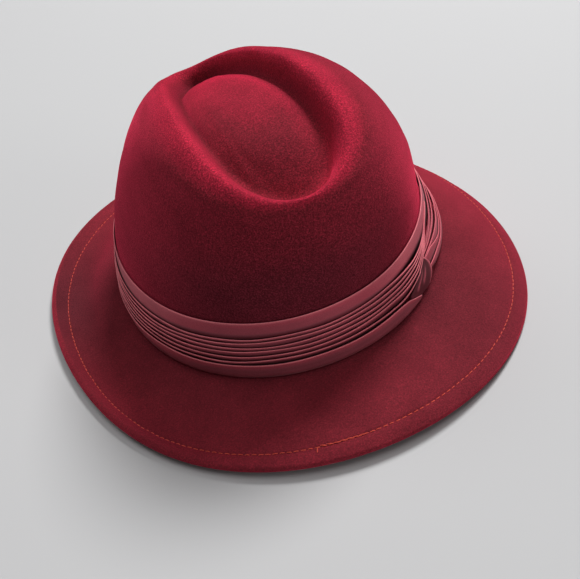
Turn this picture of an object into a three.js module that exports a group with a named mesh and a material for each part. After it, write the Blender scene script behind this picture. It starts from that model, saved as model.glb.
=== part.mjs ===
// Felt fedora with a teardrop crown, a turned-edge brim and a pleated cloth band.
// Units are millimetres. Front of the hat is -Y, the wearer's left is +X, up is +Z.
// The hat rests on the floor (z = 0) on its brim; the crown leans a little on it.
import * as THREE from 'three';

// ---------------------------------------------------------------- driving sizes
const FELT = 2.2;            // wall of the crown and of the single brim
const WELT_WIDTH = 10.6;     // strip of the brim edge that is turned under
const WELT_THICK = 4.2;      // the two layers of felt at the turned edge
const BREAK_RADIUS = 3.0;    // bend where the crown turns into the brim
const CLEARANCE = 0.3;       // air between the separate pieces
const LEAN_SIDE = 5.1;       // degrees the crown leans to the wearer's left
const LEAN_BACK = 2.1;       // degrees the crown leans backward
const FLATTENED = 1.35;      // how far the resting edge is pressed flat
const STEPS_ROUND = 48;      // steps round the hat
const WRAP_THICK = 1.1;      // folded end over the join of the band

// Crown, outer face. One row per ring from the headline to the middle of the dent.
// at: way along the profile; half_len, half_wid: half axes; mid_x, mid_y: centre;
// taper: narrowing toward the front; rounding: fullness of the sides;
// height: mean height; tilt: front-to-back rise; saddle: front/back against sides.
const CROWN = [
  { name: 'headline',    at: 0,   half_len: 96.1, half_wid: 88.5, mid_x: 0.0,  mid_y: 0.0, taper: -0.02, rounding: 0.00, height: 0.0,   tilt: 0.0,  saddle: 0.0 },
  { name: 'band_top',    at: 38,  half_len: 96.0, half_wid: 84.8, mid_x: 0.0,  mid_y: 0.4, taper: -0.02, rounding: 0.00, height: 38.0,  tilt: 0.0,  saddle: 0.0 },
  { name: 'wall',        at: 72,  half_len: 93.0, half_wid: 76.3, mid_x: -3.7, mid_y: 2.0, taper: -0.04, rounding: 0.01, height: 70.0,  tilt: -1.0, saddle: -2.0 },
  { name: 'shoulder',    at: 98,  half_len: 87.0, half_wid: 62.4, mid_x: -2.9, mid_y: 4.5, taper: -0.10, rounding: 0.03, height: 92.2,  tilt: -2.2, saddle: -7.3 },
  { name: 'crest_foot',  at: 116, half_len: 82.5, half_wid: 50.3, mid_x: -0.6, mid_y: 6.2, taper: -0.21, rounding: 0.07, height: 102.7, tilt: -3.0, saddle: -10.0 },
  { name: 'crest',       at: 126, half_len: 79.0, half_wid: 38.0, mid_x: 0.0,  mid_y: 6.8, taper: -0.27, rounding: 0.09, height: 107.2, tilt: -3.2, saddle: -12.3 },
  { name: 'crest_inner', at: 132, half_len: 75.5, half_wid: 33.5, mid_x: 0.0,  mid_y: 6.7, taper: -0.27, rounding: 0.09, height: 104.0, tilt: -3.2, saddle: -12.0 },
  { name: 'groove_wall', at: 140, half_len: 71.5, half_wid: 29.5, mid_x: 0.0,  mid_y: 6.4, taper: -0.27, rounding: 0.08, height: 97.0,  tilt: -3.0, saddle: -11.0 },
  { name: 'groove',      at: 147, half_len: 67.0, half_wid: 27.0, mid_x: 0.0,  mid_y: 6.0, taper: -0.26, rounding: 0.07, height: 96.2,  tilt: -2.8, saddle: -9.5 },
  { name: 'dome_foot',   at: 155, half_len: 60.5, half_wid: 23.2, mid_x: -0.6, mid_y: 5.4, taper: -0.25, rounding: 0.06, height: 100.3, tilt: -3.0, saddle: -7.5 },
  { name: 'dome_edge',   at: 166, half_len: 51.0, half_wid: 18.8, mid_x: -1.1, mid_y: 4.5, taper: -0.22, rounding: 0.04, height: 104.8, tilt: -4.3, saddle: -4.5 },
  { name: 'dome',        at: 184, half_len: 32.0, half_wid: 12.6, mid_x: -2.0, mid_y: 4.5, taper: -0.10, rounding: 0.00, height: 108.9, tilt: -3.8, saddle: -1.5 },
  { name: 'dome_top',    at: 212, half_len: 0.0,  half_wid: 0.0,  mid_x: -2.0, mid_y: 6.0, taper: 0.00,  rounding: 0.00, height: 110.1, tilt: 0.0,  saddle: 0.0 },
];

// Brim, upper face. One row per eighth of the way round from the front toward the left.
// width: along the felt from crown to edge; root, mid, edge: slope in degrees, up is plus.
const BRIM = [
  { name: 'front',       width: 59.2, root: -12.8, mid: -33.3, edge: -10.7 },
  { name: 'front_left',  width: 58.3, root: -13.3, mid: -26.2, edge: 27.7 },
  { name: 'left',        width: 48.9, root: -13.6, mid: -19.3, edge: 50.0 },
  { name: 'back_left',   width: 57.5, root: -11.0, mid: -0.9,  edge: 12.5 },
  { name: 'back',        width: 61.5, root: -9.4,  mid: 6.7,   edge: -37.3 },
  { name: 'back_right',  width: 60.2, root: -12.1, mid: -22.6, edge: -41.2 },
  { name: 'right',       width: 55.8, root: -15.4, mid: -35.6, edge: -47.7 },
  { name: 'front_right', width: 56.2, root: -14.7, mid: -33.9, edge: -58.7 },
];

// Band, one row per lapped layer: height of its upper fold and how far the fold
// stands off the crown. Each layer lies outside the one above it.
const BAND_LAYERS = [
  { name: 'top_panel',    fold: 37.7, out: 1.2 },
  { name: 'pleat_1',      fold: 27.6, out: 1.8 },
  { name: 'pleat_2',      fold: 24.9, out: 2.1 },
  { name: 'pleat_3',      fold: 22.1, out: 2.4 },
  { name: 'pleat_4',      fold: 19.3, out: 2.7 },
  { name: 'pleat_5',      fold: 16.4, out: 3.0 },
  { name: 'pleat_6',      fold: 13.2, out: 3.3 },
  { name: 'bottom_panel', fold: 10.4, out: 3.9 },
];
const BAND_FOOT = 3.2;       // lower edge of the band at the crown
const BAND_HEM = 1.0;        // lower edge of the band at its outer face
const LAYER_FALL = 0.35;     // a layer falls back this far under the next fold
// The gathered cloth stands off the crown beside its join: middle and spread of the
// swelling in degrees round the hat, and how far it stands off at the top and the foot.
const BAND_SWELL = { angle: 258, spread: 24, top: 0.2, foot: 5.2 };

// Folded end of the cloth over the band's join, one row per step down the band:
// height, angle round the hat, half width and extra stand-off.
const WRAP = [
  { height: 20.0, angle: 216.3, half_wid: 1.2,  bulge: 0.0 },
  { height: 17.0, angle: 215.2, half_wid: 3.7,  bulge: 0.2 },
  { height: 14.4, angle: 213.8, half_wid: 6.9,  bulge: 0.4 },
  { height: 11.5, angle: 212.5, half_wid: 9.6,  bulge: 0.5 },
  { height: 8.9,  angle: 211.4, half_wid: 12.0, bulge: 0.5 },
  { height: 5.5,  angle: 212.2, half_wid: 9.3,  bulge: 0.4 },
  { height: 2.6,  angle: 212.7, half_wid: 6.1,  bulge: 0.1 },
];

const DEG = Math.PI / 180;

// ---------------------------------------------------------------- small helpers
const add = (a, b, k = 1) => [a[0] + b[0] * k, a[1] + b[1] * k, a[2] + b[2] * k];
const sub = (a, b) => [a[0] - b[0], a[1] - b[1], a[2] - b[2]];
const cross = (a, b) => [a[1] * b[2] - a[2] * b[1], a[2] * b[0] - a[0] * b[2], a[0] * b[1] - a[1] * b[0]];
const unit = (a) => { const l = Math.hypot(...a); return [a[0] / l, a[1] / l, a[2] / l]; };
const mix = (a, b, u) => a.map((v, i) => v + (b[i] - v) * u);
const angles = (n) => Array.from({ length: n }, (_, i) => (i / n) * 2 * Math.PI);

// ---------------------------------------------------------------- felt surface
function ringPoint(row, phi) {
  const c = Math.cos(phi), s = Math.sin(phi), c2 = Math.cos(2 * phi);
  return [
    row.mid_x + row.half_wid * s * (1 + row.taper * c + row.rounding * c2),
    row.mid_y - row.half_len * c,
    row.height + row.tilt * c + row.saddle * c2,
  ];
}

// Smooth curve through the rings of the crown at one angle.
function crownPoint(phi, at) {
  const P = CROWN.map((r) => ringPoint(r, phi)), k = CROWN.map((r) => r.at), n = k.length;
  const chord = (i) => sub(P[i + 1], P[i]).map((v) => v / (k[i + 1] - k[i]));
  const inner = (i) => {
    const h0 = k[i] - k[i - 1], h1 = k[i + 1] - k[i], d0 = chord(i - 1), d1 = chord(i);
    return d0.map((v, j) => (v * h1 + d1[j] * h0) / (h0 + h1));
  };
  const slope = (i) => {
    if (i === 0) return chord(0).map((v, j) => 2 * v - inner(1)[j]);
    if (i === n - 1) return chord(n - 2).map((v, j) => 2 * v - inner(n - 2)[j]);
    return inner(i);
  };
  let i = 0;
  while (i < n - 2 && at >= k[i + 1]) i += 1;
  const h = k[i + 1] - k[i], u = (at - k[i]) / h, m0 = slope(i), m1 = slope(i + 1);
  return P[i].map((p, j) =>
    (1 + 2 * u) * (1 - u) ** 2 * p + u * (1 - u) ** 2 * h * m0[j]
    + u * u * (3 - 2 * u) * P[i + 1][j] + u * u * (u - 1) * h * m1[j]);
}

// Smooth periodic value of one brim column at an angle.
function brimValue(column, phi) {
  const v = BRIM.map((r) => r[column]), n = v.length;
  let out = v.reduce((a, b) => a + b, 0) / n;
  for (let m = 1; m <= n / 2; m += 1) {
    let cm = 0, sm = 0;
    v.forEach((x, i) => { cm += x * Math.cos((m * i * 2 * Math.PI) / n) * 2 / n; sm += x * Math.sin((m * i * 2 * Math.PI) / n) * 2 / n; });
    if (m === n / 2) { cm /= 2; sm = 0; }
    out += cm * Math.cos(m * phi) + sm * Math.sin(m * phi);
  }
  return out;
}

// Outward direction of the headline oval, level.
function outward(phi) {
  const e = 1e-4, a = ringPoint(CROWN[0], phi - e), b = ringPoint(CROWN[0], phi + e);
  return unit([b[1] - a[1], a[0] - b[0], 0]);
}

// Point of the brim's upper face at a distance along the felt from the crown.
function brimPoint(phi, dist) {
  const width = brimValue('width', phi), root = brimValue('root', phi), mid = brimValue('mid', phi), edge = brimValue('edge', phi);
  const n = 40;
  let h = 0, z = 0;
  for (let i = 0; i < n; i += 1) {
    const s = ((i + 0.5) / n) * dist / width;
    const slope = (s < 0.5 ? root + (mid - root) * s * 2 : mid + (edge - mid) * (s * 2 - 1)) * DEG;
    h += Math.cos(slope) * dist / n;
    z += Math.sin(slope) * dist / n;
  }
  return add(add(ringPoint(CROWN[0], phi), outward(phi), h), [0, 0, 1], z);
}

// Profile of the outer face at one angle, from near the edge to the dent.
const CROWN_STOPS = [BREAK_RADIUS, 12, 24, 38, 50, 62, 74, 86, 96, 104, 111, 117, 122, 126, 129.5, 133, 137, 141, 144.5, 148, 152, 156.5, 162, 169, 178, 192];
const EDGE_STOPS = [WELT_THICK / 2, 6.2, WELT_WIDTH - 0.5, WELT_WIDTH + 0.4];
const BRIM_SPANS = [0.16, 0.36, 0.58, 0.80];
function outerProfile(phi) {
  const width = brimValue('width', phi), rows = [];
  for (const d of EDGE_STOPS) rows.push({ at: brimPoint(phi, width - d), thick: d < WELT_WIDTH ? WELT_THICK : FELT });
  const from = width - EDGE_STOPS.at(-1);
  for (const f of BRIM_SPANS) rows.push({ at: brimPoint(phi, from + (BREAK_RADIUS - from) * f), thick: FELT });
  const low = brimPoint(phi, BREAK_RADIUS), corner = ringPoint(CROWN[0], phi), high = crownPoint(phi, BREAK_RADIUS);
  rows.push({ at: low, thick: FELT });
  rows.push({ at: mix(mix(low, corner, 0.5), mix(corner, high, 0.5), 0.5), thick: FELT });
  for (const t of CROWN_STOPS) rows.push({ at: crownPoint(phi, t), thick: FELT });
  return rows;
}

// ---------------------------------------------------------------- mesh building
function meshFromRings(name, rings, color, roughness, closedLoop) {
  const pos = [], index = [], n = Math.max(...rings.map((r) => r.length)), first = [];
  rings.forEach((ring) => { first.push(pos.length / 3); ring.forEach((p) => pos.push(...p)); });
  const band = (a, b) => {
    const na = rings[a].length, nb = rings[b].length;
    for (let i = 0; i < n; i += 1) {
      const j = (i + 1) % n;
      if (na === 1) index.push(first[a], first[b] + i, first[b] + j);
      else if (nb === 1) index.push(first[a] + i, first[b], first[a] + j);
      else index.push(first[a] + i, first[b] + i, first[b] + j, first[a] + i, first[b] + j, first[a] + j);
    }
  };
  for (let r = 0; r + 1 < rings.length; r += 1) band(r, r + 1);
  if (closedLoop) band(rings.length - 1, 0);
  return finishMesh(name, pos, index, color, roughness);
}

function finishMesh(name, pos, index, color, roughness) {
  let volume = 0;
  const v = (i) => [pos[3 * i], pos[3 * i + 1], pos[3 * i + 2]];
  for (let i = 0; i < index.length; i += 3) {
    const a = v(index[i]), b = v(index[i + 1]), c = v(index[i + 2]), k = cross(b, c);
    volume += (a[0] * k[0] + a[1] * k[1] + a[2] * k[2]) / 6;
  }
  if (volume < 0) for (let i = 0; i < index.length; i += 3) [index[i + 1], index[i + 2]] = [index[i + 2], index[i + 1]];
  const g = new THREE.BufferGeometry();
  g.setAttribute('position', new THREE.Float32BufferAttribute(pos, 3));
  g.setIndex(index);
  g.computeVertexNormals();
  const mesh = new THREE.Mesh(g, new THREE.MeshStandardMaterial({ color, roughness, metalness: 0 }));
  mesh.name = name;
  return mesh;
}

// ---------------------------------------------------------------- felt body
function feltBody() {
  const turn = angles(STEPS_ROUND), profiles = turn.map(outerProfile), count = profiles[0].length;
  const top = CROWN.at(-1), apex = [top.mid_x, top.mid_y, top.height];
  const at = (i, r) => profiles[(i + STEPS_ROUND) % STEPS_ROUND][r].at;
  const normal = (i, r) => {
    const along = sub(r + 1 < count ? at(i, r + 1) : apex, at(i, Math.max(r - 1, 0)));
    const round = sub(at(i + 1, r), at(i - 1, r));
    return unit(cross(round, along));
  };
  const outer = [], inner = [];
  for (let r = 0; r < count; r += 1) {
    outer.push(turn.map((_, i) => at(i, r)));
    inner.push(turn.map((_, i) => add(at(i, r), normal(i, r), -profiles[i][r].thick)));
  }
  // rounded outer edge: half circle from the upper face to the turned-under face
  const half = WELT_THICK / 2;
  const rim = [45, 90, 135].map((a) => turn.map((_, i) => {
    const n = normal(i, 0), out = unit(sub(at(i, 0), at(i, 1)));
    const centre = add(at(i, 0), n, -half);
    return add(add(centre, n, half * Math.cos(a * DEG)), out, half * Math.sin(a * DEG));
  }));
  const rings = [[apex], ...outer.slice().reverse(), ...rim, ...inner, [add(apex, [0, 0, -FELT])]];
  return meshFromRings('felt_body', rings, 0x8e1330, 0.95, false);
}

// ---------------------------------------------------------------- band
function swelling(phi, height) {
  const share = height / BAND_LAYERS[0].fold, away = (phi / DEG - BAND_SWELL.angle) / BAND_SWELL.spread;
  return Math.exp(-away * away) * (BAND_SWELL.top * share + BAND_SWELL.foot * (1 - share));
}
const standOff = (phi, height, out) => add(crownPoint(phi, height), outward(phi), out + swelling(phi, height));
function pleatedBand() {
  const turn = angles(STEPS_ROUND), section = [];
  BAND_LAYERS.forEach((layer, i) => {
    const below = BAND_LAYERS[i + 1];
    section.push([layer.fold, layer.out]);
    section.push(below ? [below.fold, layer.out - LAYER_FALL] : [BAND_HEM, layer.out - LAYER_FALL]);
  });
  section.push([BAND_FOOT, CLEARANCE + 0.3], [BAND_FOOT + 4, CLEARANCE], [20, CLEARANCE], [BAND_LAYERS[0].fold, CLEARANCE]);
  const rings = section.map(([height, out]) => turn.map((phi) => standOff(phi, height, out)));
  return meshFromRings('pleated_band', rings, 0x9a5560, 0.7, true);
}

// Outermost face of the band at a height.
function bandFace(height) {
  let i = 0;
  while (i < BAND_LAYERS.length - 1 && height < BAND_LAYERS[i + 1].fold) i += 1;
  const a = BAND_LAYERS[i], b = BAND_LAYERS[Math.min(i + 1, BAND_LAYERS.length - 1)];
  return Math.max(a.out, height - b.fold < 1.5 ? b.out : a.out);
}

function bandWrap() {
  const across = [-1, -0.5, 0, 0.5, 1], front = [], back = [];
  const reach = (CROWN[0].half_len + CROWN[0].half_wid) / 2;
  const place = (row, a, out) => standOff(row.angle * DEG + (a * row.half_wid) / reach, row.height, out);
  for (const row of WRAP) {
    const base = bandFace(row.height) + CLEARANCE + 0.15;
    front.push(across.map((a) => place(row, a, base + WRAP_THICK + row.bulge * (1 - a * a))));
    back.push(across.map((a) => place(row, a, base)));
  }
  const rings = WRAP.map((_, r) => [...front[r], ...back[r].slice().reverse()]);
  const mid = (ring) => [ring.reduce((s, p) => add(s, p, 1 / ring.length), [0, 0, 0])];
  return meshFromRings('band_wrap', [mid(rings[0]), ...rings, mid(rings.at(-1))], 0x8f4a56, 0.7, false);
}

// ---------------------------------------------------------------- resting place
function settle(meshes) {
  const a = LEAN_SIDE * DEG, b = LEAN_BACK * DEG, box = new THREE.Box3();
  const each = (fn) => meshes.forEach((m) => {
    const p = m.geometry.attributes.position;
    for (let i = 0; i < p.count; i += 1) p.setXYZ(i, ...fn(p.getX(i), p.getY(i), p.getZ(i)));
    m.geometry.computeVertexNormals();
  });
  const measure = () => { box.makeEmpty(); meshes.forEach((m) => { m.geometry.computeBoundingBox(); box.union(m.geometry.boundingBox); }); };
  each((x, y, z) => {
    const x1 = x * Math.cos(a) + z * Math.sin(a), z1 = -x * Math.sin(a) + z * Math.cos(a);
    return [x1, y * Math.cos(b) + z1 * Math.sin(b), -y * Math.sin(b) + z1 * Math.cos(b)];
  });
  measure();
  const dx = (box.min.x + box.max.x) / 2, dy = (box.min.y + box.max.y) / 2, dz = box.min.z + FLATTENED;
  each((x, y, z) => [x - dx, y - dy, Math.max(z - dz, 0)]);
}

const hat = new THREE.Group();
hat.name = 'fedora';
const pieces = [feltBody(), pleatedBand(), bandWrap()];
settle(pieces);
pieces.forEach((m) => hat.add(m));

export default hat;
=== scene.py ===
import bpy, bmesh, math
import numpy as np
from mathutils import Matrix, Vector


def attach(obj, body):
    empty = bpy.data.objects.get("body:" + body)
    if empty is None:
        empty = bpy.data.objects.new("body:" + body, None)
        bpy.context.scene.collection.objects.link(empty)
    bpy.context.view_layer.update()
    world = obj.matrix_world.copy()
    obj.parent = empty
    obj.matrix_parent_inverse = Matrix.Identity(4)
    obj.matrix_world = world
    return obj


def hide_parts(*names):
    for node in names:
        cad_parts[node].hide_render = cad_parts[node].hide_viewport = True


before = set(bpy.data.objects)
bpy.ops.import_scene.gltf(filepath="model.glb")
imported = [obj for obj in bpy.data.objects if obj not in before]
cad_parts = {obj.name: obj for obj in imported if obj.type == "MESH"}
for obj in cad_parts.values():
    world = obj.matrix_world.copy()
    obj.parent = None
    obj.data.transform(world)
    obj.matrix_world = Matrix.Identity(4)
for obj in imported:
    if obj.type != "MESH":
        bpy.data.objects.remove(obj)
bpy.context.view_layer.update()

RNG = np.random.default_rng(7)
D = math.pi / 180
MM = 0.001

# ------------------------------------------------------------------ sizes (mm)
FELT, WELT_WIDTH, WELT_THICK, BREAK = 2.2, 10.6, 4.2, 3.0
STITCH_PITCH, STITCH_LEN, THREAD = 3.5, 2.70, 0.24
LEAN_SIDE, LEAN_BACK = 5.1, 2.1
SEAT = np.array([-0.438, 1.778, -20.730])   # from the headline's middle to the row's origin

# crown rings: at, half length, half width, mid x, mid y, taper, rounding, height, tilt, saddle
CROWN = np.array([
    (0, 96.1, 88.5, 0.0, 0.0, -0.02, 0.00, 0.0, 0.0, 0.0),
    (38, 96.0, 84.8, 0.0, 0.4, -0.02, 0.00, 38.0, 0.0, 0.0),
    (72, 93.0, 76.3, -3.7, 2.0, -0.04, 0.01, 70.0, -1.0, -2.0),
    (98, 87.0, 62.4, -2.9, 4.5, -0.10, 0.03, 92.2, -2.2, -7.3),
    (116, 82.5, 50.3, -0.6, 6.2, -0.21, 0.07, 102.7, -3.0, -10.0),
    (126, 79.0, 38.0, 0.0, 6.8, -0.27, 0.09, 107.2, -3.2, -12.3),
    (132, 75.5, 33.5, 0.0, 6.7, -0.27, 0.09, 104.0, -3.2, -12.0),
    (140, 71.5, 29.5, 0.0, 6.4, -0.27, 0.08, 97.0, -3.0, -11.0),
    (147, 67.0, 27.0, 0.0, 6.0, -0.26, 0.07, 96.2, -2.8, -9.5),
    (155, 60.5, 23.2, -0.6, 5.4, -0.25, 0.06, 100.3, -3.0, -7.5),
    (166, 51.0, 18.8, -1.1, 4.5, -0.22, 0.04, 104.8, -4.3, -4.5),
    (184, 32.0, 12.6, -2.0, 4.5, -0.10, 0.00, 108.9, -3.8, -1.5),
    (212, 0.0, 0.0, -2.0, 6.0, 0.00, 0.00, 110.1, 0.0, 0.0)])
# brim from the front toward the left, each eighth: width, slope at root, middle, edge,
# and how far the stitched line lies inside the edge
BRIM = np.array([
    (59.2, -12.8, -33.3, -10.7, 10.7), (58.3, -13.3, -26.2, 27.7, 10.7),
    (48.9, -13.6, -19.3, 50.0, 7.8), (57.5, -11.0, -0.9, 12.5, 7.7),
    (61.5, -9.4, 6.7, -37.3, 9.7), (60.2, -12.1, -22.6, -41.2, 10.7),
    (55.8, -15.4, -35.6, -47.7, 10.3), (56.2, -14.7, -33.9, -58.7, 9.1)])


# ------------------------------------------------------------------ felt surface
def ring(row, phi):
    _, L, W, cx, cy, tp, rd, h, ti, sa = row
    c, s, c2 = np.cos(phi), np.sin(phi), np.cos(2 * phi)
    return np.stack([cx + W * s * (1 + tp * c + rd * c2), cy - L * c, h + ti * c + sa * c2], -1)


def crown(phi, at):
    k = CROWN[:, 0]
    P = np.array([ring(r, phi) for r in CROWN])
    dk = np.diff(k)[:, None, None]
    ch = np.diff(P, axis=0) / dk
    M = np.empty_like(P)
    M[1:-1] = (ch[:-1] * dk[1:] + ch[1:] * dk[:-1]) / (dk[1:] + dk[:-1])
    M[0] = 2 * ch[0] - M[1]
    M[-1] = 2 * ch[-1] - M[-2]
    at = np.asarray(at, float)
    i = np.clip(np.searchsorted(k, at, side="right") - 1, 0, len(k) - 2)
    h = k[i + 1] - k[i]
    u = ((at - k[i]) / h)[:, None, None]
    h = h[:, None, None]
    return ((1 + 2 * u) * (1 - u) ** 2 * P[i] + u * (1 - u) ** 2 * h * M[i]
            + u * u * (3 - 2 * u) * P[i + 1] + u * u * (u - 1) * h * M[i + 1])


def around(col, phi):
    v = BRIM[:, col]
    n = len(v)
    a = np.arange(n) * 2 * np.pi / n
    out = np.full(phi.shape, v.mean())
    for m in range(1, n // 2 + 1):
        cm, sm = (v * np.cos(m * a)).sum() * 2 / n, (v * np.sin(m * a)).sum() * 2 / n
        if m == n // 2:
            cm, sm = cm / 2, 0
        out = out + cm * np.cos(m * phi) + sm * np.sin(m * phi)
    return out


def outward(phi):
    e = 1e-4
    a, b = ring(CROWN[0], phi - e), ring(CROWN[0], phi + e)
    v = np.stack([b[:, 1] - a[:, 1], a[:, 0] - b[:, 0], 0 * phi], -1)
    return v / np.linalg.norm(v, axis=1)[:, None]


def brim(phi, dist):
    """Points of the upper face at dist (k, n) along the felt from the headline."""
    w, a0, am, a1 = [around(i, phi) for i in range(4)]
    N = 160
    S = ((np.arange(N) + 0.5) / N)[:, None]
    a = np.where(S < 0.5, a0 + (am - a0) * S * 2, am + (a1 - am) * (S * 2 - 1)) * D
    z0 = np.zeros((1, len(phi)))
    H = np.concatenate([z0, np.cumsum(np.cos(a) * w / N, 0)])
    Z = np.concatenate([z0, np.cumsum(np.sin(a) * w / N, 0)])
    f = np.asarray(dist) / w * N
    i = np.clip(f.astype(int), 0, N - 1)
    u = f - i
    c = np.arange(len(phi))
    h = H[i, c] * (1 - u) + H[i + 1, c] * u
    z = Z[i, c] * (1 - u) + Z[i + 1, c] * u
    P = ring(CROWN[0], phi)[None] + outward(phi)[None] * h[..., None]
    P[..., 2] += z
    return P


def turn(P):
    """Lean of the hat on its brim."""
    a, b = LEAN_SIDE * D, LEAN_BACK * D
    x, y, z = P[..., 0], P[..., 1], P[..., 2]
    x1, z1 = x * math.cos(a) + z * math.sin(a), -x * math.sin(a) + z * math.cos(a)
    return np.stack([x1, y * math.cos(b) + z1 * math.sin(b), -y * math.sin(b) + z1 * math.cos(b)], -1)


def seat(P):
    return turn(np.asarray(P, float)) - SEAT


def grid_normals(G, apex=None):
    """Outward normals of rings G (rings, n, 3) that run from the edge to the top."""
    nxt = np.concatenate([G[1:], G[-1:] if apex is None else np.broadcast_to(apex, G[-1:].shape)])
    prv = np.concatenate([G[:1], G[:-1]])
    n = np.cross(np.roll(G, -1, 1) - np.roll(G, 1, 1), nxt - prv)
    return n / np.linalg.norm(n, axis=-1)[..., None]


def unit(v):
    return v / np.linalg.norm(v, axis=-1)[..., None]


def smooth(x, xs, ys):
    """Soft curve through a short table."""
    xs, ys = np.asarray(xs, float), np.asarray(ys, float)
    d = np.diff(ys) / np.diff(xs)
    m = np.concatenate([[d[0]], (d[:-1] + d[1:]) / 2, [d[-1]]])
    m[1:-1][d[:-1] * d[1:] <= 0] = 0
    x = np.clip(x, xs[0], xs[-1])
    i = np.clip(np.searchsorted(xs, x, side="right") - 1, 0, len(xs) - 2)
    h = xs[i + 1] - xs[i]
    u = (x - xs[i]) / h
    return ((1 + 2 * u) * (1 - u) ** 2 * ys[i] + u * (1 - u) ** 2 * h * m[i]
            + u * u * (3 - 2 * u) * ys[i + 1] + u * u * (u - 1) * h * m[i + 1])


def waves(phi, terms, amp):
    """Smooth periodic unevenness made of a few fixed waves."""
    out = np.zeros_like(phi)
    for k in terms:
        out = out + RNG.normal() * np.cos(k * phi + RNG.uniform(0, 6.28)) / math.sqrt(len(terms))
    return out * amp


# ------------------------------------------------------------------ objects
def mesh_object(name, verts_mm, faces, smooth=True):
    me = bpy.data.meshes.new(name)
    me.from_pydata((np.asarray(verts_mm) * MM).tolist(), [], faces)
    me.validate()
    if smooth:
        bm = bmesh.new()
        bm.from_mesh(me)
        bmesh.ops.recalc_face_normals(bm, faces=bm.faces)
        bm.to_mesh(me)
        bm.free()
        me.polygons.foreach_set("use_smooth", np.ones(len(me.polygons), bool))
    me.update()
    ob = bpy.data.objects.new(name, me)
    bpy.context.scene.collection.objects.link(ob)
    return ob


def loft(rings, closed_profile=False, flip=False):
    """Vertices and quads of rings with equal counts; a ring of one point is a tip."""
    verts, first, faces = [], [], []
    n = max(len(r) for r in rings)
    for r in rings:
        first.append(len(verts))
        verts.extend(np.asarray(r).tolist())
    pairs = list(zip(range(len(rings) - 1), range(1, len(rings))))
    if closed_profile:
        pairs.append((len(rings) - 1, 0))
    for a, b in pairs:
        na, nb = len(rings[a]), len(rings[b])
        for i in range(n):
            j = (i + 1) % n
            if na == 1:
                f = (first[a], first[b] + j, first[b] + i)
            elif nb == 1:
                f = (first[a] + i, first[a] + j, first[b])
            else:
                f = (first[a] + i, first[a] + j, first[b] + j, first[b] + i)
            faces.append(f[::-1] if flip else f)
    return verts, faces


def tubes(paths, radius, sides=6):
    """One mesh of round threads along short paths (each k x 3) with closed ends."""
    verts, faces = [], []
    ang = np.arange(sides) * 2 * np.pi / sides
    for P in paths:
        P = np.asarray(P)
        t = unit(np.gradient(P, axis=0))
        ref = np.array([0.0, 0.0, 1.0])
        s = unit(np.cross(t, ref))
        u = np.cross(s, t)
        k = len(P)
        base = len(verts)
        taper = np.ones(k)
        taper[0] = taper[-1] = 0.55
        for i in range(k):
            for a in ang:
                verts.append(P[i] + (s[i] * math.cos(a) + u[i] * math.sin(a)) * radius * taper[i])
        for i in range(k - 1):
            for j in range(sides):
                l = (j + 1) % sides
                faces.append((base + i * sides + j, base + i * sides + l, base + (i + 1) * sides + l, base + (i + 1) * sides + j))
        faces.append(tuple(base + j for j in range(sides))[::-1])
        faces.append(tuple(base + (k - 1) * sides + j for j in range(sides)))
    return verts, faces


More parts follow.
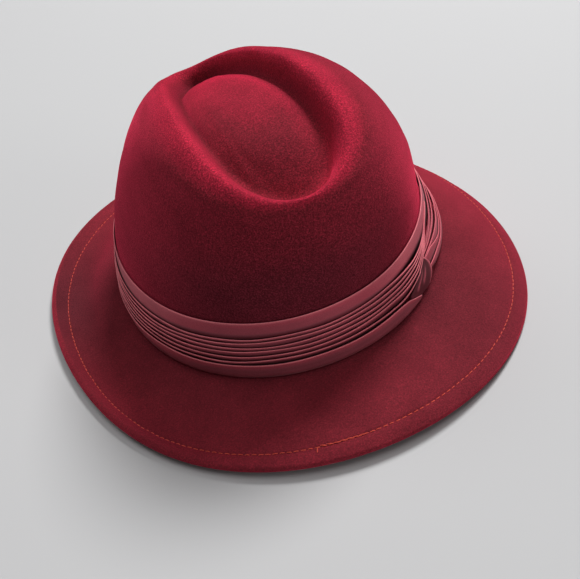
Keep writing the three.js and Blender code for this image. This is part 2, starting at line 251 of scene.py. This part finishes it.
# ------------------------------------------------------------------ felt body
def felt_body():
    N = 288
    phi = np.arange(N) / N * 2 * np.pi
    w = around(0, phi)
    seam_in = around(4, phi)
    steps = np.array([2.1, 2.6, 3.3, 4.2, 5.2, 6.2, 7.2, 8.0, 8.6, 9.0, 9.3, 9.55, 9.8, 10.05, 10.3, 10.55, 10.8, 11.2, 12.0, 13.2])
    off = 2.1 + (steps[:, None] - 2.1) * (seam_in - 2.1) / 7.7
    dist = [w - d for d in off]
    start = w - off[-1]
    for f in np.linspace(0, 1, 25)[1:]:
        dist.append(start + (BREAK - start) * f)
    dist = np.array(dist)
    B = brim(phi, dist)
    corner, high, low = ring(CROWN[0], phi), crown(phi, [BREAK])[0], B[-1]
    bend = np.array([(1 - u) ** 2 * low + 2 * u * (1 - u) * corner + u * u * high for u in (0.25, 0.5, 0.75)])
    ts = np.concatenate([np.arange(BREAK, 100, 2.2), np.arange(100, 150, 0.95), np.arange(150, 208, 1.8)])
    C = crown(phi, ts)
    G = np.concatenate([B, bend, C])
    apex = np.array([CROWN[-1, 3], CROWN[-1, 4], CROWN[-1, 7]])
    nrm = grid_normals(G, apex)
    rows = len(G)
    nb = len(B)
    # hand-shaped unevenness: slow waves in the brim, faint ones in the crown
    reach = np.clip(dist / w, 0, 1)
    slow = waves(phi, (3, 4, 5, 7), 0.55)[None] * reach ** 1.5
    lump = np.zeros((rows, N))
    lump[:nb] = slow
    tt = np.concatenate([np.zeros(nb + 3), ts])
    for k, q, amp in ((5, 0.05, 0.16), (8, 0.09, 0.12), (11, 0.16, 0.10), (17, 0.21, 0.07)):
        lump += amp * np.sin(k * phi[None] + q * tt[:, None] + RNG.uniform(0, 6.28)) * np.sin(q * 1.7 * tt[:, None] + RNG.uniform(0, 6.28)) * np.clip((tt[:, None] - 42) / 6, 0, 1) * np.clip((190 - tt[:, None]) / 30, 0, 1)
    # stitched welt: a pulled-in line with small puckers, and a soft swell outside it
    inside = w[None] - dist - seam_in[None]
    line = np.exp(-(inside / 0.75) ** 2)
    count = 246
    pucker = 0.75 + 0.25 * np.cos(count * phi)[None]
    lump[:nb] -= 0.42 * line * pucker
    lump[:nb] += 0.30 * np.exp(-((inside + 4.0) / 2.4) ** 2)
    lump[:nb] += 0.10 * np.exp(-((inside - 2.2) / 1.2) ** 2)
    outer = G + nrm * lump[..., None]
    thick = np.full((rows, N), FELT)
    thick[:17] = WELT_THICK
    inner = outer - nrm * thick[..., None]
    half = WELT_THICK / 2
    out = unit(outer[0] - outer[1])
    mid = (outer[0] + inner[0]) / 2
    axis = (outer[0] - inner[0]) / 2
    rim = [mid + axis * math.cos(a * D) + out * half * math.sin(a * D) for a in (15, 32, 50, 70, 90, 110, 130, 148, 165)]
    keep = list(range(nb + 3)) + list(range(nb + 3, rows, 3))
    rings = [[apex]] + [outer[r] for r in range(rows - 1, -1, -1)] + rim + [inner[r] for r in keep] + [[apex - [0, 0, FELT]]]
    verts, faces = loft(rings)
    V = seat(verts)
    V[:, 2] = np.maximum(V[:, 2], 0.0)
    ob = mesh_object("felt_body_visual", V, faces)
    # painted shading, kept as a point attribute: darker low on the wall and in the groove, lighter on the crests and
    # the dome
    shade_paint = smooth(np.clip(tt, 3, 212), (3, 40, 60, 82, 104, 114, 121, 128, 132, 138, 146, 154, 168, 212), (0.20, 0.00, 0.04, 0.28, 0.40, 0.46, 0.72, 0.76, 0.63, 0.38, 0.30, 0.50, 0.66, 0.62))
    shade_paint = np.repeat(shade_paint[:, None], N, 1)
    # painted shade in the groove toward the far side and the left, painted light on the dome's far side and painted
    # shade on its near side
    shade_paint -= 0.30 * np.exp(-((tt[:, None] - 143) / 8.0) ** 2) * np.cos(phi)[None]
    shade_paint += 0.36 * np.exp(-((tt[:, None] - 172) / 14.0) ** 2) * np.maximum(np.cos(phi + 25 * D), -0.65)[None]
    shade_paint -= 0.08 * np.exp(-((tt[:, None] - 143) / 8.0) ** 2) * np.sin(phi)[None]
    # painted light on two sides of the lower wall
    painted_side_light = 0.20 * np.exp(-((phi - 222 * D) / (25 * D)) ** 2) + 0.09 * np.exp(-((phi - 104 * D) / (22 * D)) ** 2)
    shade_paint += painted_side_light[None] * np.clip((96 - tt[:, None]) / 30, 0, 1)
    # painted shade on the brim: darker on its right side and darker toward the outer edge on its left side; elsewhere
    # a little lighter toward the edge
    left = np.exp(-((phi - 68 * D) / (26 * D)) ** 2)[None]
    right = np.exp(-((phi - 215 * D) / (30 * D)) ** 2)[None]
    shade_paint[:nb] = (0.34 + 0.20 * reach) * (1 - 0.45 * right) * (1 - left) + np.clip(0.28 - 0.50 * reach, 0.0, 1.0) * left
    shade_paint[nb:nb + 3] = 0.30
    marks = [np.array([0.62])] + [shade_paint[r] for r in range(rows - 1, -1, -1)] + [np.full(N, 0.5)] * len(rim) + [np.full(N, 0.35)] * len(keep) + [np.array([0.35])]
    # the attribute carries the painted light and shade into the felt's colour
    attr = ob.data.attributes.new("painted_shading", "FLOAT", "POINT")
    attr.data.foreach_set("value", np.concatenate(marks).astype(np.float32))
    # the brim is pressed smooth, the crown keeps its pile
    pile = np.concatenate([np.full(nb, 0.30), np.full(3, 0.6), smooth(ts, (3, 90, 120, 150, 212), (0.95, 0.95, 0.80, 0.75, 0.62))])
    piles = [np.array([0.62])] + [np.full(N, pile[r]) for r in range(rows - 1, -1, -1)] + [np.full(N, 0.4)] * len(rim) + [np.full(N, 0.5)] * len(keep) + [np.array([0.5])]
    attr = ob.data.attributes.new("fur", "FLOAT", "POINT")
    attr.data.foreach_set("value", np.concatenate(piles).astype(np.float32))
    return ob


def brim_strip_frame(phi, inside):
    """Points and normals of the brim's upper face a distance inside the edge."""
    w = around(0, phi)
    P = brim(phi, (w - inside)[None])[0]
    A = brim(phi, (w - inside + 0.6)[None])[0]
    e = 1e-3
    t = unit(brim(phi + e, (around(0, phi + e) - around(4, phi + e))[None])[0] - P)
    d = unit(A - P)
    n = unit(np.cross(t, -d))
    return P, t, d, n


# ------------------------------------------------------------------ materials
class Nodes:
    def __init__(self, name):
        self.mat = bpy.data.materials.new(name)
        self.mat.use_nodes = True
        self.t = self.mat.node_tree
        self.bsdf = self.t.nodes["Principled BSDF"]

    def add(self, kind, **inputs):
        n = self.t.nodes.new(kind)
        for k, v in inputs.items():
            n.inputs[k.replace("_", " ")].default_value = v
        return n

    def link(self, a, b):
        self.t.links.new(a, b)

    def noise(self, coord, scale, detail=2.0, rough=0.5):
        n = self.add("ShaderNodeTexNoise", Scale=scale, Detail=detail, Roughness=rough)
        self.link(coord, n.inputs["Vector"])
        return n.outputs["Fac"]

    def ramp(self, fac, stops):
        n = self.t.nodes.new("ShaderNodeValToRGB")
        el = n.color_ramp.elements
        el[0].position, el[0].color = stops[0][0], (*stops[0][1], 1)
        el[1].position, el[1].color = stops[-1][0], (*stops[-1][1], 1)
        for p, c in stops[1:-1]:
            e = el.new(p)
            e.color = (*c, 1)
        self.link(fac, n.inputs["Fac"])
        return n.outputs["Color"]

    def mix(self, fac, a, b, mode="MIX"):
        n = self.t.nodes.new("ShaderNodeMix")
        n.data_type = "RGBA"
        n.blend_type = mode
        if isinstance(fac, float):
            n.inputs[0].default_value = fac
        else:
            self.link(fac, n.inputs[0])
        for i, v in ((6, a), (7, b)):
            if isinstance(v, tuple):
                n.inputs[i].default_value = (*v, 1)
            else:
                self.link(v, n.inputs[i])
        return n.outputs[2]

    def math(self, op, a, b):
        n = self.t.nodes.new("ShaderNodeMath")
        n.operation = op
        for i, v in ((0, a), (1, b)):
            if isinstance(v, (int, float)):
                n.inputs[i].default_value = v
            else:
                self.link(v, n.inputs[i])
        return n.outputs[0]

    def bump(self, height, strength, distance, normal=None):
        n = self.add("ShaderNodeBump", Strength=strength, Distance=distance)
        self.link(height, n.inputs["Height"])
        if normal is not None:
            self.link(normal, n.inputs["Normal"])
        return n.outputs["Normal"]

    def set(self, **kw):
        for k, v in kw.items():
            self.bsdf.inputs[k.replace("_", " ")].default_value = v


def felt_material():
    m = Nodes("felt_red")
    co = m.add("ShaderNodeTexCoord").outputs["Object"]
    grain = m.noise(co, 1250.0, 3.0, 0.70)
    broad = m.noise(co, 48.0, 3.0, 0.55)
    fleck = m.noise(co, 1700.0, 1.0, 0.5)
    fur = m.t.nodes.new("ShaderNodeAttribute")
    fur.attribute_name = "fur"
    rough_grain = m.ramp(grain, [(0.32, (0.062, 0.0070, 0.0110)), (0.50, (0.200, 0.0130, 0.0235)), (0.70, (0.480, 0.0270, 0.0560))])
    flat_grain = m.ramp(grain, [(0.32, (0.155, 0.0200, 0.0290)), (0.50, (0.205, 0.0245, 0.0345)), (0.70, (0.270, 0.0290, 0.0420))])
    base = m.mix(fur.outputs["Fac"], flat_grain, rough_grain)
    tone = m.ramp(broad, [(0.30, (0.84, 0.84, 0.84)), (0.70, (1.12, 1.08, 1.08))])
    col = m.mix(1.0, base, tone, "MULTIPLY")
    painted_shading = m.t.nodes.new("ShaderNodeAttribute")
    painted_shading.attribute_name = "painted_shading"
    # painted light and shade from the attribute: darker where it is low, lighter and redder where it is high
    painted_shading_tint = m.ramp(painted_shading.outputs["Fac"], [(0.0, (0.44, 0.80, 0.72)), (0.5, (1.0, 1.0, 1.0)), (1.0, (2.80, 1.40, 2.20))])
    col = m.mix(1.0, col, painted_shading_tint, "MULTIPLY")
    # pale flecks on the pile: stray pale fibres, painted brighter as glints of light on the fibre tips
    light = m.ramp(fleck, [(0.64, (0, 0, 0)), (0.80, (1, 1, 1))])
    col = m.mix(m.math("MULTIPLY", m.math("MULTIPLY", light, 0.34), fur.outputs["Fac"]), col, (0.50, 0.080, 0.090))
    m.link(col, m.bsdf.inputs["Base Color"])
    h = m.math("ADD", m.math("MULTIPLY", grain, 1.0), m.math("MULTIPLY", fleck, 0.5))
    m.link(m.bump(h, 0.60, 0.00050), m.bsdf.inputs["Normal"])
    m.set(Roughness=1.0, Specular_IOR_Level=0.10, Sheen_Weight=0.84, Sheen_Roughness=0.45, Sheen_Tint=(1.0, 0.050, 0.125, 1))
    return m.mat


def band_material():
    m = Nodes("band_cloth_rose")
    co = m.add("ShaderNodeTexCoord").outputs["Object"]
    fine = m.noise(co, 1900.0, 2.0, 0.6)
    broad = m.noise(co, 45.0, 3.0, 0.5)
    painted_fold_shading = m.t.nodes.new("ShaderNodeAttribute")
    painted_fold_shading.attribute_name = "edge"
    # painted shading on the band: near black in the gaps between pleats (painted shade), pale pink along the fold
    # tops (painted highlight)
    base = m.ramp(painted_fold_shading.outputs["Fac"], [(0.0, (0.026, 0.0046, 0.0068)), (0.20, (0.170, 0.0255, 0.0380)), (0.32, (0.330, 0.0760, 0.1010)), (0.40, (0.480, 0.0760, 0.1090)), (0.70, (0.640, 0.1300, 0.1650)), (1.0, (0.840, 0.2300, 0.2650))])
    thread = m.ramp(fine, [(0.30, (0.86, 0.84, 0.84)), (0.70, (1.12, 1.12, 1.12))])
    tone = m.ramp(broad, [(0.30, (0.90, 0.90, 0.90)), (0.70, (1.08, 1.06, 1.06))])
    col = m.mix(1.0, m.mix(1.0, base, thread, "MULTIPLY"), tone, "MULTIPLY")
    m.link(col, m.bsdf.inputs["Base Color"])
    m.link(m.bump(fine, 0.25, 0.00015), m.bsdf.inputs["Normal"])
    m.set(Roughness=0.58, Specular_IOR_Level=0.16, Sheen_Weight=0.10, Sheen_Roughness=0.5, Sheen_Tint=(1.0, 0.45, 0.50, 1))
    return m.mat


def thread_material():
    m = Nodes("thread_orange_red")
    co = m.add("ShaderNodeTexCoord").outputs["Object"]
    n = m.noise(co, 2600.0, 2.0, 0.5)
    m.link(m.ramp(n, [(0.3, (0.58, 0.052, 0.034)), (0.7, (0.86, 0.112, 0.064))]), m.bsdf.inputs["Base Color"])
    m.set(Roughness=0.6, Specular_IOR_Level=0.25, Sheen_Weight=0.2, Sheen_Roughness=0.4)
    return m.mat


def floor_material():
    m = Nodes("studio_floor")
    m.set(Base_Color=(0.56, 0.56, 0.565, 1), Roughness=0.85, Specular_IOR_Level=0.2)
    return m.mat


# ------------------------------------------------------------------ band
LAYER_OUT = (1.25, 2.05, 2.40, 2.75, 3.10, 3.45, 3.80, 4.35)
LAYER_FOLD = (37.7, 27.6, 24.9, 22.1, 19.3, 16.4, 13.2, 10.4)
SWELL_ANGLE, SWELL_SPREAD, SWELL_TOP, SWELL_FOOT = 258.0, 24.0, 0.2, 5.2   # cloth that stands off beside the join


def swelling(phi, z):
    share = z / LAYER_FOLD[0]
    away = ((phi / D) % 360.0 - SWELL_ANGLE) / SWELL_SPREAD
    return np.exp(-away ** 2) * (SWELL_TOP * share + SWELL_FOOT * (1 - share))


def wall_points(phi, z, o):
    """Points standing o off the crown at height z; all three share one length."""
    zc = np.clip(z, 0.0, 41.9)
    P = np.empty((len(phi), 3))
    for lo in range(0, len(phi), 400):
        sl = slice(lo, lo + 400)
        W = crown(phi[sl], np.arange(0.0, 43.0, 1.0))
        i = zc[sl].astype(int)
        u = (zc[sl] - i)[:, None]
        c = np.arange(len(i))
        P[sl] = W[i, c] * (1 - u) + W[i + 1, c] * u
    return P + outward(phi) * (o + swelling(phi, zc))[:, None]


def strip_sections(phi, z, foot, o, fall, r, tuck, gap_shade=0.0, rest=0.35):
    """Sections of a folded strip of cloth whose fold faces up; returns (n, m, 3) and marks of painted shade and
    highlight.
    """
    r = np.minimum(r, np.maximum(z - foot, 0.2) / 2.6)
    top = z - r
    prof, mark = [], []
    # painted shade low on the face, in the gap above the next fold, lighter toward the fold
    for u, shade in ((0.0, gap_shade), (0.25, gap_shade), (0.5, 0.75 * gap_shade + 0.05), (0.75, 0.45 * gap_shade + 0.2), (0.92, 0.42)):
        prof.append((foot + (top - foot) * u, o - fall * (1 - u) ** 1.2))
        mark.append(shade)
    # painted highlight on the top of the fold, painted shade on its underside and back
    for a in (0, 30, 60, 90, 120, 150, 180):
        prof.append((top + r * math.sin(a * D), o - r + r * math.cos(a * D)))
        mark.append((0.8, 1.0, 1.0, 0.9, 0.6, 0.2, 0.0)[a // 30])
    back = np.maximum(o - 2 * r, rest)
    low = np.maximum(foot + 0.2, top - tuck)
    prof.append(((top + low) / 2, np.maximum(back - 0.10, rest)))
    prof.append((low, np.maximum(np.minimum(back - 0.15, o - fall - 0.15), rest)))
    prof.append((foot, np.maximum(o - fall - 0.5, rest)))
    mark += [0.0, 0.0, 0.0]
    S = np.stack([wall_points(phi, zz, oo) for zz, oo in prof], 1)
    return S, np.tile(np.array(mark), (len(phi), 1))


def pleated_band():
    verts, faces, edge = [], [], []

    def put(sections, mark, closed):
        rings = [seat(q) for q in sections]
        if closed:
            v, f = loft(rings, closed_profile=True)
            e = mark.ravel()
        else:
            v, f = loft([[rings[0].mean(0)]] + rings + [[rings[-1].mean(0)]])
            e = np.concatenate([[0], mark.ravel(), [0]])
        base = len(verts)
        verts.extend(v)
        faces.extend(tuple(base + k for k in q) for q in f)
        edge.extend(e.tolist())

    # upper panel: one closed ring
    N = 420
    phi = np.arange(N) / N * 2 * np.pi
    z = LAYER_FOLD[0] + waves(phi, (2, 3, 5, 9), 0.10)
    o = LAYER_OUT[0] + waves(phi, (3, 5, 8), 0.05)
    S, mark = strip_sections(phi, z, np.full(N, 23.5), o, 0.45, 0.32, 30.0, 0.36)
    # painted shadow on the lowest part of the upper panel, above the first pleat
    mark[:, :3] = (0.0, 0.10, 0.36)
    painted_highlight = 0.30 * np.exp(-((phi / D - 208) / 15.0) ** 2) + 0.28 * np.exp(-((phi / D - 100) / 20.0) ** 2)
    mark[:, 2:5] += painted_highlight[:, None]                              # painted light: the cloth is painted paler toward the sides
    put(S, mark, True)

    # pleats and lower panel run once round and cross at the join: angles in degrees,
    # the far end first, the near end one turn later
    ang = np.concatenate([np.linspace(216.4, 268.0, 110), np.linspace(269.0, 554.0, 300), np.linspace(554.6, 596.5, 110)])
    near = ang - 360.0
    far = (216.4, 219, 222, 225, 230, 235, 240, 250, 268)
    far_fold = {1: (17.2, 18.0, 18.9, 19.8, 21.2, 22.9, 24.8, 26.7, 27.6), 3: (16.9, 17.6, 18.3, 18.6, 18.8, 18.9, 19.1, 20.6, 22.1),
                5: (16.5, 17.2, 17.7, 17.6, 16.6, 15.2, 14.4, 15.4, 16.4), 6: (15.8, 17.0, 17.3, 16.0, 12.0, 8.4, 7.6, 10.2, 13.2),
                7: (8.4, 8.6, 8.7, 8.5, 7.4, 5.6, 5.2, 7.6, 10.4)}
    far_fold[2] = tuple((a + b) / 2 for a, b in zip(far_fold[1], far_fold[3]))
    far_fold[4] = tuple((a + b) / 2 for a, b in zip(far_fold[3], far_fold[5]))
    at_near = (194, 203, 209.5, 213.2, 217, 221, 224, 227, 231, 236.5)
    near_top = smooth(near, (194, 205, 214, 222, 227, 231, 236.5), (27.6, 27.4, 26.9, 26.9, 29.0, 30.7, 32.0))
    near_low = smooth(near, at_near, (13.2, 13.6, 16.0, 18.2, 21.2, 23.4, 25.9, 28.2, 30.2, 31.7))
    near_end = smooth(near, at_near, (8.2, 9.4, 13.9, 16.1, 19.6, 21.9, 24.7, 27.4, 29.7, 31.3))
    slack = np.exp(-(((ang - 360) - 205) / 26.0) ** 2)          # gap that opens toward the join
    lap = smooth(near, (196, 208, 218, 226), (0, 0.9, 1.1, 0.5))
    ease = smooth(near, (211, 217, 222, 227, 232), (0.0, 0.3, 0.68, 0.95, 1.0))     # the near end thins out on the upper panel
    tuckin = smooth(ang, (216.4, 219, 224, 232), (1.1, 0.6, 0.2, 0.0))
    loose = smooth(ang, (216.4, 245, 266), (1.0, 1.0, 0.0)) * (ang < 266)    # broad plain strips at the far end
    sink = smooth(ang, (216.4, 238, 300), (1.0, 1.0, 0.0)) * (ang < 300)
    far_in, near_in = ang < 268.0, near > 194.0
    folds, outs = [], []
    for i in range(1, 8):
        wob = waves(ang * D, (2, 3, 5, 8, 13), 0.40)
        wig = waves(ang * D, (4, 7, 11, 17), 0.10)
        z = np.where(far_in, smooth(ang, far, far_fold[i]), LAYER_FOLD[i])
        if i < 7:
            z = np.where(near_in, near_top + (near_low - near_top) * (27.6 - LAYER_FOLD[i]) / 14.4, z)
        else:
            z = np.where(near > 196, smooth(near, (196, 200, 203, 205.6, 208.3, 210), (10.4, 9.9, 8.8, 6.5, 4.1, 2.6)), z)
        calm = 1 - 0.85 * np.exp(-((ang - 224) / 18.0) ** 2) - 0.75 * np.exp(-((near - 222) / 14.0) ** 2)
        z = z + wob * calm * (0.5 if i == 7 else 1.0)
        o = LAYER_OUT[i] + wig * calm + lap * (i < 7) - tuckin
        if i >= 5:
            o = o + (0.10, 0.25, 0.75)[i - 5] * slack * (near < 212)
        if i in (2, 4):                                          # two pleats sink out of sight at the far end
            o = o - 1.25 * sink
        o = o + 0.35 * loose * (i >= 5)
        if i < 7:
            o = o * (1 - ease) + (1.50 + 0.03 * i) * ease
        folds.append(z)
        outs.append(o)
    hem = smooth(ang, (216.4, 219, 221, 225, 230, 236, 245), (7.6, 7.0, 5.6, 3.6, 2.2, 1.3, 0.9))
    for i in range(1, 8):
        z, o = folds[i - 1], outs[i - 1]
        if i < 6:
            foot = folds[i] - 1.9
        elif i == 6:
            foot = np.where(near_in, near_end, folds[6] - 1.9)
        else:
            foot = np.where(ang < 245, hem, 0.9)
        if i < 6:
            foot = np.where(near_in, np.maximum(foot, near_end), foot)
        if i in (1, 3):                                          # a broad strip reaches under the next broad one
            over = smooth(ang, (216.4, 256, 304), (1.0, 1.0, 0.0)) * (ang < 304)
            foot = foot + (np.minimum(foot, folds[i + 1] - 1.2) - foot) * over
        foot = np.minimum(foot, z - 0.5)
        fall = np.full(len(ang), 1.5 if i < 7 else 0.45)
        fall = fall * (1 - 0.55 * loose)
        keep = slice(None) if i < 7 else (near <= 209.6)
        S, mark = strip_sections((ang * D)[keep], z[keep], foot[keep], o[keep], fall[keep], 0.32, 2.6 if i < 7 else 6.0, (0.22, 0.25, 0.25, 0.22, 0.12, 0.0, 0.33)[i - 1], 0.35 + 0.015 * i)
        # broad strips get a flatter profile of painted shade and highlight
        plain = np.array([0.12, 0.30, 0.38, 0.40, 0.44, 0.60, 0.72, 0.72, 0.62, 0.45, 0.2, 0.0, 0.0, 0.0, 0.0])
        wide = (loose + 0.6 * ease)[keep][:, None]
        mark = mark * (1 - wide) + plain[None] * wide
        # painted light on the band's left side
        mark[:, 2:6] += 0.12 * np.exp(-((near - 100) / 20.0) ** 2)[keep][:, None]
        if i == 6:                                               # painted shade: the open gap above the lower panel is darkened
            mark[:, 1:4] *= (1 - 0.85 * slack)[keep][:, None]
        put(S, mark, False)
    ob = mesh_object("pleated_band_visual", verts, faces)
    attr = ob.data.attributes.new("edge", "FLOAT", "POINT")
    attr.data.foreach_set("value", np.array(edge, dtype=np.float32))
    return ob


def band_wrap():
    """Folded end of the cloth at the join: a flap that falls back from its raised fold."""
    t = np.linspace(0, 1, 30)
    knots = np.linspace(0, 1, 6)
    ra = smooth(t, knots, (216.2, 217.8, 218.8, 219.0, 218.0, 216.0))
    rz = smooth(t, knots, (20.6, 16.6, 12.2, 8.2, 4.6, 1.8))
    ro = smooth(t, knots, (4.3, 4.8, 5.1, 5.2, 5.1, 4.8))
    la = smooth(t, knots, (214.6, 211.6, 207.6, 204.2, 204.8, 209.0))
    lz = smooth(t, knots, (19.0, 15.0, 11.8, 8.6, 5.4, 1.8))
    lo = smooth(t, knots, (3.9, 4.0, 4.1, 4.2, 4.2, 4.2))
    u = np.linspace(0, 1, 26)
    A = ra[:, None] + (la - ra)[:, None] * u
    Z = rz[:, None] + (lz - rz)[:, None] * u
    fall = 1 - (1 - u) ** 1.6
    O = ro[:, None] + (lo - ro)[:, None] * fall
    painted_highlight = np.zeros_like(O)
    for at, wide, high in ((0.42, 0.055, 0.75), (0.68, 0.050, 0.65)):       # two small folds
        ridge = np.exp(-((u[None] - at - 0.10 * (t[:, None] - 0.5)) / wide) ** 2)
        reach = np.sin(np.pi * np.clip((t[:, None] - 0.16) / 0.58, 0, 1))
        O = O + high * ridge * reach
        painted_highlight = np.maximum(painted_highlight, ridge * reach)
    roll = 0.42
    rings = []
    for k in range(len(t)):
        face = np.stack([A[k], Z[k], O[k]], -1)
        d = face[0] - face[3]
        d = d / max(np.hypot(d[0] * 1.6, d[1]), 1e-6)
        turn_ = [face[0] + np.array([d[0] * roll * math.sin(b), d[1] * roll * math.sin(b), -roll + roll * math.cos(b)]) for b in np.radians((30, 60, 90, 120, 150))]
        rear = face[::-1].copy()
        rear[:, 2] = np.maximum(np.minimum(face[::-1, 2] - 0.7, face[::-1, 2] - 0.7), 2.6)
        section = np.concatenate([face[::-1], np.array(turn_), rear[::-1]])
        rings.append(section)
    R_ = np.array(rings)
    n, m, _ = R_.shape
    flat = R_.reshape(-1, 3)
    P = seat(wall_points(flat[:, 0] * D, flat[:, 1], flat[:, 2])).reshape(n, m, 3)
    v, f = loft([[P[0].mean(0)]] + list(P) + [[P[-1].mean(0)]], flip=True)
    # painted shade: the flap is painted dark all over, with painted highlight along its two small folds and its
    # raised fold
    mark = np.full((n, m), 0.13)
    mark[:, :26] += 0.42 * painted_highlight[:, ::-1]
    mark[:, 22:31] = (0.16, 0.22, 0.42, 0.8, 0.95, 0.95, 0.7, 0.3, 0.1)
    ob = mesh_object("band_wrap_visual", v, f)
    attr = ob.data.attributes.new("edge", "FLOAT", "POINT")
    attr.data.foreach_set("value", np.concatenate([[0], mark.ravel(), [0]]).astype(np.float32))
    return ob


# ------------------------------------------------------------------ stitches
def stitches():
    N = 2400
    phi = np.arange(N + 1) / N * 2 * np.pi
    P, *_ = brim_strip_frame(phi, around(4, phi))
    arc = np.concatenate([[0], np.cumsum(np.linalg.norm(np.diff(P, axis=0), axis=1))])
    total = arc[-1]
    count = round(total / STITCH_PITCH)
    pitch = total / count
    paths = []

    def stitch(centre, length, side=0.0, lift=0.0, skew=0.0, under=False):
        s = centre + np.linspace(-0.5, 0.5, 7) * length
        a = np.interp(s % total, arc, phi)
        q, t, d, n = brim_strip_frame(a, around(4, a))
        arch = np.sin(np.linspace(0, np.pi, 7)) ** 0.7
        depth = -0.30 - 0.20 + 0.42 * arch + lift
        if under:
            return q - n * (WELT_THICK + 0.10 * arch[:, None] - 0.05)
        return q + n * depth[:, None] + d * (side + skew * np.linspace(-1, 1, 7))[:, None]

    for k in range(count):
        jl, js, jk = RNG.normal() * 0.12, RNG.normal() * 0.08, RNG.normal() * 0.07
        paths.append(stitch((k + 0.5) * pitch + RNG.normal() * 0.06, STITCH_LEN + jl, js, 0.0, jk))
        paths.append(stitch((k + 1.0) * pitch, STITCH_LEN - 0.3 + jl, 0, 0, 0, True))
    # back-tack: a second row laid over the first near the rear, with a short loose end
    start = np.interp(161.0 * D, phi, arc)
    for k in range(7):
        paths.append(stitch(start + 1.2 + (k + 0.5) * 3.3, 2.9, -0.35 + RNG.normal() * 0.1, 0.16, 0.16))
    q, t, d, n = brim_strip_frame(np.array([161.0 * D]), around(4, np.array([161.0 * D])))
    u = np.linspace(0, 1, 8)[:, None]
    paths.append(q + n * (0.15 + 0.35 * np.sin(u * np.pi)) + d * (0.2 + 2.8 * u) - t * (0.2 + 0.5 * u ** 2))
    v, f = tubes(paths, THREAD)
    V = seat(np.array(v))
    V[:, 2] = np.maximum(V[:, 2], 0.02)
    return mesh_object("brim_stitches", V, f)


# ------------------------------------------------------------------ build
felt = felt_body()
felt.data.materials.append(felt_material())
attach(felt, "root")
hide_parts("felt_body")

cloth = band_material()
band = pleated_band()
band.data.materials.append(cloth)
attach(band, "root")
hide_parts("pleated_band")

wrap = band_wrap()
wrap.data.materials.append(cloth)
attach(wrap, "root")
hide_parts("band_wrap")

seam = stitches()
seam.data.materials.append(thread_material())
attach(seam, "root")

# ------------------------------------------------------------------ floor, light, camera
floor = mesh_object("studio_floor", [(-4000, -4000, 0), (4000, -4000, 0), (4000, 4000, 0), (-4000, 4000, 0)], [(0, 1, 2, 3)], False)
floor.data.materials.append(floor_material())

AZ, EL, ROLL, PAN, TILT, RANGE, FOCAL = 163.705, 38.535, -15.856, -0.223, 4.641, 572.61, 1000.19
a, e = AZ * D, EL * D
back = np.array([math.sin(a) * math.cos(e), -math.cos(a) * math.cos(e), math.sin(e)])
fwd = -back
right = np.cross(fwd, [0, 0, 1.0])
right /= np.linalg.norm(right)
up = np.cross(right, fwd)
R = np.array([right, -up, fwd])


def rot(axis, deg):
    c, s = math.cos(deg * D), math.sin(deg * D)
    return np.array({"x": [[1, 0, 0], [0, c, -s], [0, s, c]], "y": [[c, 0, s], [0, 1, 0], [-s, 0, c]], "z": [[c, -s, 0], [s, c, 0], [0, 0, 1]]}[axis])


R = rot("z", ROLL) @ rot("x", TILT) @ rot("y", PAN) @ R
eye = seat(np.array([0, 0, 30.0]) + back * RANGE)
cx, cy, cz = turn(R[0]), -turn(R[1]), -turn(R[2])
cam_data = bpy.data.cameras.new("photo_camera")
cam = bpy.data.objects.new("photo_camera", cam_data)
bpy.context.scene.collection.objects.link(cam)
cam.matrix_world = Matrix([[cx[i], cy[i], cz[i], eye[i] * MM] for i in range(3)] + [[0, 0, 0, 1]])
cam_data.sensor_fit = "HORIZONTAL"
cam_data.sensor_width = 36.0
cam_data.lens = FOCAL / 580 * 36.0
cam_data.clip_start = 0.01
bpy.context.scene.camera = cam


def area(name, turn_deg, rise_deg, reach, size, energy, color=(1, 1, 1), aim=(0, 0, 0.06)):
    """Soft light round the hat: turn from straight behind it toward the right, and rise."""
    head = np.array([-cz[0], -cz[1], 0.0])
    head /= np.linalg.norm(head)
    side = np.array([head[1], -head[0], 0.0])
    flat_way = head * math.cos(turn_deg * D) + side * math.sin(turn_deg * D)
    loc = flat_way * reach * math.cos(rise_deg * D) + np.array([0, 0, reach * math.sin(rise_deg * D)])
    data = bpy.data.lights.new(name, "AREA")
    data.shape = "DISK"
    data.size = size
    data.energy = energy
    data.color = color
    ob = bpy.data.objects.new(name, data)
    bpy.context.scene.collection.objects.link(ob)
    ob.location = loc
    ob.rotation_euler = (Vector(aim) - Vector(loc)).to_track_quat("-Z", "Y").to_euler()
    return ob


area("key_behind", 34, 54, 2.6, 0.95, 64.0)
area("soft_left", -50, 52, 2.6, 1.40, 8.0)
area("top_soft", 180, 80, 2.2, 1.60, 11.0)
area("front_fill", 200, 45, 2.4, 1.40, 2.2)
area("side_right", 120, 12, 2.4, 1.00, 10.0)
world = bpy.data.worlds.new("studio")
bpy.context.scene.world = world
world.use_nodes = True
bg = world.node_tree.nodes["Background"]
bg.inputs[0].default_value = (0.95, 0.96, 1.0, 1)
bg.inputs[1].default_value = 0.04
bpy.context.scene.view_settings.view_transform = "Standard"
bpy.context.scene.view_settings.look = "None"
